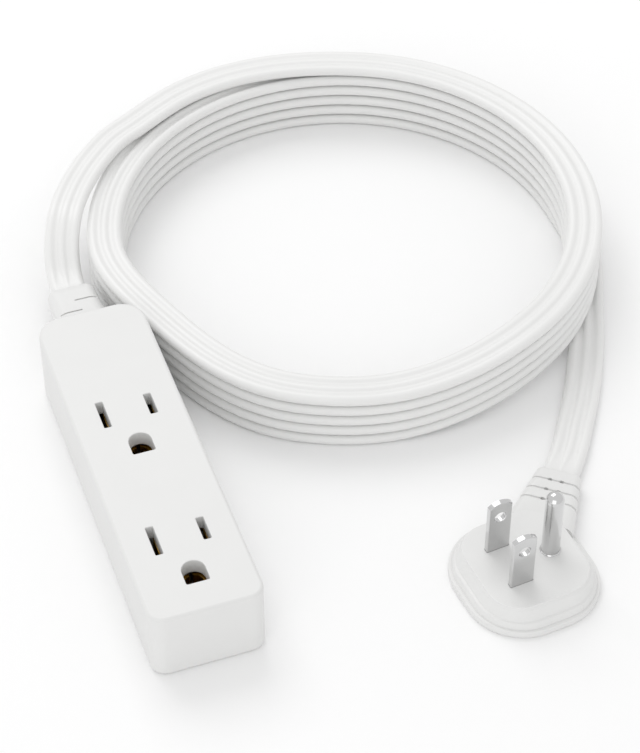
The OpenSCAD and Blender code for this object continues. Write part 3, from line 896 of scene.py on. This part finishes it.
    def relief_rings(self) -> list[Ring]:
        """Give the rings of the strain relief: collar, throat, and the tapered body outside.

        Returns:
            The rings, from the collar's back to the tip.
        """
        out = self.length / 2
        back = out - self.wall - self.collar_back
        front = back + self.collar_t
        thin = 0.01
        sizes = [(back, *self.collar, 0.0), (front, *self.collar, 0.0)]
        sizes += [(front + thin, *self.throat, 0.0), (out + self.throat_past, *self.throat, 0.0)]
        root = out + self.throat_past + thin
        span = self.relief_l - self.throat_past - 2 * thin
        steps = 14
        for i in range(steps + 1):
            share = i / steps
            waist = 1 - self.relief_waist * share * (1 - share)
            w, h = taper(self.relief_w, share) * waist, taper(self.relief_h, share) * waist
            sizes.append((root + span * share, w, h, self.relief_tip if i == steps else 0.0))
        rings = []
        for y, w, h, inset in sizes:
            soft = h * self.relief_soft
            shape = RoundedPlan(w, h, soft, soft, 8).points(inset)
            rings.append([Vector((-x, y, self.cord_z + z)) for x, z in shape])
        return rings

    def relief(self) -> Piece:
        """Build the strain relief with its flexing slots, which go over an edge above and below.

        Returns:
            The strain relief.
        """
        relief = skinned("block_cord_relief", self.relief_rings())
        deep, soft, past, shift = self.flex_d, 0.25, 1.5, 0.25
        slots = []
        for side, share in zip((-1, 1), self.flex_shares):
            y = self.length / 2 + share * self.relief_l
            half_w, half_h = taper(self.relief_w, share) / 2, taper(self.relief_h, share) / 2
            for face in (-1, 1):
                over = RoundedPlan(half_w + past, self.flex_w, soft, soft, 3)
                spot = at(side * (half_w / 2 + shift), y, self.cord_z + face * half_h)
                slots.append(prism("flex_slot", over, (-deep, deep), spot))
                down = RoundedPlan(2 * deep, self.flex_w, soft, soft, 3)
                spot = at(side * half_w, y, self.cord_z + face * half_h / 2)
                slots.append(prism("flank_slot", down, (-half_h / 2, half_h / 2), spot))
        carve(relief, slots)
        return dress(relief, MOULDED_PVC, ("block_strain_relief",))

    def dress_inside(self) -> None:
        """Give the housed solids their finishes."""
        dress_solids(
            {
                "block_rear_cover": COVER_ABS,
                "block_screws": ZINC_STEEL,
                "block_live_bar": STRIP_BRASS,
                "block_neutral_bar": STRIP_BRASS,
                "block_ground_bar": STRIP_BRASS,
                "block_live_core": LIVE_PVC,
                "block_neutral_core": NEUTRAL_PVC,
                "block_ground_core": GROUND_PVC,
                "block_copper_ends": COPPER,
            }
        )


# ---------------- plug


@dataclass
class FlatPlug:
    """The low plug that lies on its back, with its prongs up and its cord at one corner.

    Attributes:
        x, y: Place of the middle of the blades' line.
        yaw: Turn in degrees of the line from the blades to the ground pin.
        centre: Middle of the body, from the blades' line.
        relief_turn: Turn in degrees of the strain relief in the body.
        length: Size of the flange along the line from the blades to the ground pin.
        width: Size of the flange across that line.
        height: Height of the face that the prongs stand on.
        corner_r: Corner radius of the flange.
        corner_fall: How much smaller the corner radius of the raised face is.
        plate: Thickness of the back plate.
        rim_h: Height of the rim.
        rim_inset: How far the flat on the rim lies inside the flange.
        face_inset: How far the raised face lies inside that.
        step: Height of the step at the edge of the raised face.
        relief_root, relief_tip: Distances from the middle to the ends of the strain relief.
        relief_sunk: How far the strain relief runs on into the body.
        relief_w, relief_h: Width and height of the strain relief, at its root and at its tip.
        relief_lift: Height of the strain relief above the floor.
        grooves: Places of the three grooves round it.
        pit_side: Distance of a pit in a groove from the middle.
        blade_w, blade_t: Width and thickness of a blade.
        blade_l: Length of a blade above the face.
        blade_arch: Height of the arch at its tip.
        blade_x: Distance of a blade from the middle.
        tail_top: Height of the top of the wide tail that holds a blade in the body.
        tail_out: How far the tail reaches past the blade on each side.
        hole_r, hole_h: Radius of the hole in a blade, and its height above the face.
        prong_foot: Height at which the prongs start, inside the body.
        pin_r, pin_l: Radius of the ground pin, and its length above the face.
        pin_foot: How much wider the pin's foot is all round.
        to_ground: Distance from the blades' line to the ground pin.
    """

    x: float = 77.8
    y: float = -55.9
    yaw: float = 5.6
    centre: float = 4.8
    relief_turn: float = 46.0
    length: float = 35.8
    width: float = 37.2
    height: float = 7.9
    corner_r: float = 15.0
    corner_fall: float = 6.4
    plate: float = 2.2
    rim_h: float = 4.0
    rim_inset: float = 2.0
    face_inset: float = 2.0
    step: float = 0.5
    relief_root: float = 16.4
    relief_tip: float = 35.0
    relief_sunk: float = 2.6
    relief_w: Flat = (17.2, 12.0)
    relief_h: Flat = (6.6, 4.8)
    relief_lift: float = 0.12
    grooves: tuple[float, float, float] = (0.33, 0.54, 0.75)
    pit_side: float = 1.6
    blade_w: float = 6.35
    blade_t: float = 1.5
    blade_l: float = 17.0
    blade_arch: float = 1.2
    blade_x: float = 6.35
    tail_top: float = 4.9
    tail_out: float = 1.2
    hole_r: float = 1.6
    hole_h: float = 12.0
    prong_foot: float = 1.5
    pin_r: float = 2.38
    pin_l: float = 20.6
    pin_foot: float = 0.32
    to_ground: float = 11.9

    def place(self, along: float = 0.0, across: float = 0.0) -> Matrix:
        """Give a place in the plug, from the middle of the blades' line."""
        return at(self.x, self.y) @ rotation(self.yaw) @ at(along, across)

    def relief_place(self) -> Matrix:
        """Give the strain relief's place, at the middle of the body."""
        return self.place(self.centre) @ rotation(self.relief_turn)

    def relief_point(self, along: float, z: float) -> Vector:
        """Give a point on the axis of the strain relief, by its distance from the body's middle."""
        return self.relief_place() @ Vector((along, 0, z))

    def outline(self, inset: float) -> list[Flat]:
        """Walk the body's outline, whose corners tighten as it is drawn in.

        Args:
            inset: How far the outline is drawn in.

        Returns:
            The points.
        """
        share = held(inset / (self.rim_inset + self.face_inset))
        r = self.corner_r - self.corner_fall * share
        return RoundedPlan(self.length - 2 * inset, self.width - 2 * inset, r, r, 12).points()

    def plate_piece(self) -> Piece:
        """Build the back plate."""
        foot_edge, top_edge = 0.5, 0.3
        levels = fillet(foot_edge, 0, False, 4) + fillet(top_edge, self.plate, True, 3)
        plate = skinned("plug_back", rings_up(self.outline, levels), self.place(self.centre))
        return dress(plate, MOULDED_PVC, ("plug_back_plate",))

    def shell_levels(self) -> list[Flat]:
        """Give the insets and heights of the body's outside, from the back plate to the face.

        Returns:
            Pairs of inset and height.
        """
        plate, rim_h, ledge = self.plate, self.rim_h, self.height - self.step
        rim, raised = self.rim_inset, self.rim_inset + self.face_inset
        wall = [(0.95, plate - 0.1), (1.0, plate + 0.1), (0.9, plate + 0.4), (0.5, rim_h - 0.6)]
        lip = [(0.4, rim_h - 0.3), (0.25, rim_h - 0.1), (0.0, rim_h)]
        flat = [(rim + 0.3, rim_h + 0.12), (rim + 0.5, rim_h + 0.55)]
        shoulder = [(raised - 0.5, ledge - 0.45), (raised - 0.15, ledge - 0.1)]
        edge = [(raised, ledge + 0.08)]
        edge += [(raised + inset, z) for inset, z in fillet(0.25, self.height, True, 3)]
        return [(rim - out, z) for out, z in wall + lip] + flat + shoulder + edge

    def shell(self) -> Piece:
        """Build the moulded body: wall, rim, shoulder and raised face, with the prongs' holes.

        Returns:
            The body.
        """
        rings = rings_up(self.outline, self.shell_levels())
        body = skinned("plug_shell", rings, self.place(self.centre))
        through = (5.0, 10.0)
        play, pin_play = 0.1, 0.02
        slit = RoundedPlan(self.blade_w + play, self.blade_t + play, CRISP, CRISP, 2)
        spots = [self.place(0, side * self.blade_x) for side in (-1, 1)]
        holes = [prism("blade_gap", slit, through, spot) for spot in spots]
        bore = RoundedPlan.disc(self.pin_r + self.pin_foot + pin_play, 8)
        holes.append(prism("pin_gap", bore, through, self.place(self.to_ground)))
        carve(body, holes)
        return dress(body, MOULDED_PVC, ("plug_body",), crease=24)

    def relief_stops(self) -> list[Flat]:
        """Give the places and insets of the strain relief's rings, with its three grooves.

        Returns:
            Pairs of distance from the body's middle and inset.
        """
        half, deep, lip, slope, soft = 0.3, 0.5, 0.25, 0.08, 0.9
        stops = [(self.relief_root - self.relief_sunk, 0.0)]
        for share in self.grooves:
            mid = taper((self.relief_root, self.relief_tip), share)
            side = [(half + lip, 0.0), (half, lip / 2), (half - slope, deep)]
            stops += [(mid - off, inset) for off, inset in side]
            stops += [(mid + off, inset) for off, inset in reversed(side)]
        tip = self.relief_tip
        return stops + [(tip - soft, 0.0), (tip - soft / 3, soft / 3), (tip, soft)]

    def relief(self) -> Piece:
        """Build the ribbed strain relief with the two pits in each groove.

        Returns:
            The strain relief.
        """
        span = self.relief_tip - self.relief_root
        low_r, top_soft = 0.9, 0.42
        rings = []
        for along, inset in self.relief_stops():
            share = (along - self.relief_root) / span
            w, h = taper(self.relief_w, share), taper(self.relief_h, share)
            shape = RoundedPlan(w, h, low_r, h * top_soft, 8).points(inset)
            rings.append([Vector((along, x, self.relief_lift + h / 2 + z)) for x, z in shape])
        relief = skinned("plug_cord_relief", rings, self.relief_place())
        pit_w, pit_d, pit_r, sunk = 1.0, 1.2, 0.4, 0.4
        pit = RoundedPlan(pit_w, pit_d, pit_r, pit_r, 3)
        pits = []
        for share in self.grooves:
            top = taper(self.relief_h, share) - sunk
            for side in (-self.pit_side, self.pit_side):
                spot = self.relief_place() @ at(self.relief_root + share * span, side, top)
                pits.append(prism("pit", pit, (-pit_d, pit_d), spot))
        carve(relief, pits)
        return dress(relief, MOULDED_PVC, ("plug_strain_relief",), crease=28)

    def blade_outline(self, inset: float) -> list[Flat]:
        """Walk the blade's outline, seen from its flat side, with its arched tip and its tail.

        Args:
            inset: How far the outline is drawn in.

        Returns:
            The points: across the blade and up from the floor.
        """
        half = self.blade_w / 2 - inset
        arch_foot = self.height + self.blade_l - inset - self.blade_arch
        foot, tail_top, out = self.prong_foot + inset, self.tail_top - inset, half + self.tail_out
        count = 12
        across = [half * (1 - 2 * i / count) for i in range(count + 1)]
        arch = [(x, arch_foot + self.blade_arch * (1 - (x / half) ** 2)) for x in across]
        left = [(-half, tail_top), (-out, tail_top), (-out, foot)]
        right = [(out, foot), (out, tail_top), (half, tail_top)]
        return arch + left + right

    def blade(self, name: str, side: int, node: str) -> Piece:
        """Build one blade with softened edges, its hole and its tail.

        Args:
            name: Name of the piece.
            side: -1 for the live blade, 1 for the neutral one.
            node: The solid that it stands for.

        Returns:
            The blade.
        """
        soft, lip, edge = 0.16, 0.12, self.blade_t / 2
        levels = [(soft, -edge), (0.0, soft - edge), (0.0, edge - soft), (soft, edge)]
        where = self.place(0, side * self.blade_x) @ rotation(90, "X")
        blade = skinned(name, rings_up(self.blade_outline, levels), where)
        hole = RoundedPlan.disc(self.hole_r, 8)
        low = [(-lip, -2 * SPARE), (-lip, -edge), (0, lip - edge)]
        high = [(0, edge - lip), (-lip, edge), (-lip, 2 * SPARE)]
        spot = where @ at(0, self.height + self.hole_h)
        carve(blade, [skinned("hole", rings_up(hole.points, low + high), spot)])
        return dress(blade, NICKEL, (node,), crease=28)

    def pin(self) -> Piece:
        """Build the ground pin: a foot, a round shank and a rounded tip.

        Returns:
            The pin.
        """
        r, foot, face = self.pin_r, self.pin_r + self.pin_foot, self.height
        top = face + self.pin_l - r
        profile = [(foot, self.prong_foot), (foot, face - 0.1), (foot, face + 0.02)]
        profile += [(r + 0.04, face + 0.28), (r, face + 0.36), (r, top - 0.05)]
        profile += [(radius, top + up) for radius, up in arc(r, math.pi / 2, 10)[:-1]]
        profile.append((0.15, top + r - 0.005))
        sides = 40
        rings = rings_up(lambda radius: arc(radius, 2 * math.pi, sides)[:-1], profile)
        pin = skinned("ground_prong", rings, self.place(self.to_ground))
        return dress(pin, NICKEL, ("plug_ground_pin",), crease=40)

    def dress_inside(self) -> list[str]:
        """Give the housed solids their finishes, and give their names."""
        return dress_solids(
            {
                "plug_prong_carrier": COVER_ABS,
                "plug_live_core": LIVE_PVC,
                "plug_neutral_core": NEUTRAL_PVC,
                "plug_ground_core": GROUND_PVC,
                "plug_copper_ends": COPPER,
            }
        )


# ---------------- studio


@dataclass(frozen=True)
class SoftLamp:
    """One square soft light.

    Attributes:
        name: Name of the light.
        place: Where it hangs, in metres.
        size: Length of its side, in metres.
        power: Its power in watts.
    """

    name: str
    place: Spot
    size: float
    power: float


@dataclass
class Studio:
    """The camera, the pale floor, a bright even room and two soft lamps.

    Attributes:
        eye: Place of the camera, in metres.
        aim: The point that it looks at, in metres.
        lens: Focal length on a 36 mm sensor.
        floor_half: Half the side of the floor, in metres.
        room: Strength of the even light of the room.
        lamp_aim: The point that the lamps face, in metres.
        lamps: One high up behind, and a larger, weaker one in front.
    """

    eye: Spot = (-0.09587, -0.40422, 0.46078)
    aim: Spot = (0.05813, 0.03001, 0.0)
    lens: float = 113.27
    floor_half: float = 6.0
    room: float = 0.83
    lamp_aim: Spot = (0.06, 0.0, 0.0)
    lamps: tuple[SoftLamp, ...] = (
        SoftLamp("overhead", (-0.05, 0.75, 1.0), 0.8, 4.1),
        SoftLamp("front_fill", (-0.75, -1.1, 0.55), 1.2, 3.5),
    )

    @staticmethod
    def stand(thing: bpy.types.Object, place: Spot, aim: Spot) -> None:
        """Put a camera or a lamp in its place and turn it to a point.

        Args:
            thing: The camera or the lamp.
            place: Its place, in metres.
            aim: The point that it faces, in metres.
        """
        look = Vector(aim) - Vector(place)
        thing.location = place
        thing.rotation_euler = look.to_track_quat("-Z", "Y").to_euler()
        bpy.context.scene.collection.objects.link(thing)

    def camera(self) -> None:
        """Set the camera."""
        data = bpy.data.cameras.new("camera")
        data.lens = self.lens
        data.sensor_width = 36
        data.clip_start = 0.01
        camera = bpy.data.objects.new("camera", data)
        self.stand(camera, self.eye, self.aim)
        bpy.context.scene.camera = camera

    def floor(self) -> None:
        """Lay the pale floor."""
        paint = bpy.data.materials.new("pale_floor")
        paint.use_nodes = True
        shader = paint.node_tree.nodes["Principled BSDF"]
        shader.inputs["Base Color"].default_value = linear("F8F8F8")
        shader.inputs["Roughness"].default_value = 0.9
        shader.inputs["Specular IOR Level"].default_value = 0.1
        made = bmesh.new()
        bmesh.ops.create_grid(made, x_segments=1, y_segments=1, size=self.floor_half)
        mesh = bpy.data.meshes.new("studio_floor")
        made.to_mesh(mesh)
        made.free()
        mesh.materials.append(paint)
        floor = bpy.data.objects.new("studio_floor", mesh)
        bpy.context.scene.collection.objects.link(floor)

    def light(self) -> None:
        """Light the room and hang the lamps."""
        world = bpy.data.worlds.new("soft_room")
        world.use_nodes = True
        back = world.node_tree.nodes["Background"]
        back.inputs["Color"].default_value = linear("FFFFFF")
        back.inputs["Strength"].default_value = self.room
        for lamp in self.lamps:
            data = bpy.data.lights.new(lamp.name, "AREA")
            data.size = lamp.size
            data.energy = lamp.power
            self.stand(bpy.data.objects.new(lamp.name, data), lamp.place, self.lamp_aim)
        scene = bpy.context.scene
        scene.world = world
        scene.view_settings.view_transform = "Standard"
        scene.view_settings.look = "None"


# ---------------- main


def main() -> None:
    """Build the scene: the camera, the cord and what is on it, the block, then the studio."""
    logging.basicConfig(level=logging.INFO, format="%(message)s")
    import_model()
    studio = Studio()
    studio.camera()

    plug, block = FlatPlug(), SocketBlock()
    cord = FlatCord(plug.relief_point, plug.relief_tip)
    prongs = [
        plug.blade("live_prong", -1, "plug_live_blade"),
        plug.blade("neutral_prong", 1, "plug_neutral_blade"),
        plug.pin(),
    ]
    shells = [plug.plate_piece(), plug.shell(), plug.relief()]
    block_relief = block.relief()
    on_it = [*shells, *prongs, *plug.dress_inside(), block_relief]
    cord.build()

    block.cover()
    block.dress_inside()
    studio.floor()
    studio.light()


if __name__ == "__main__":
    main()
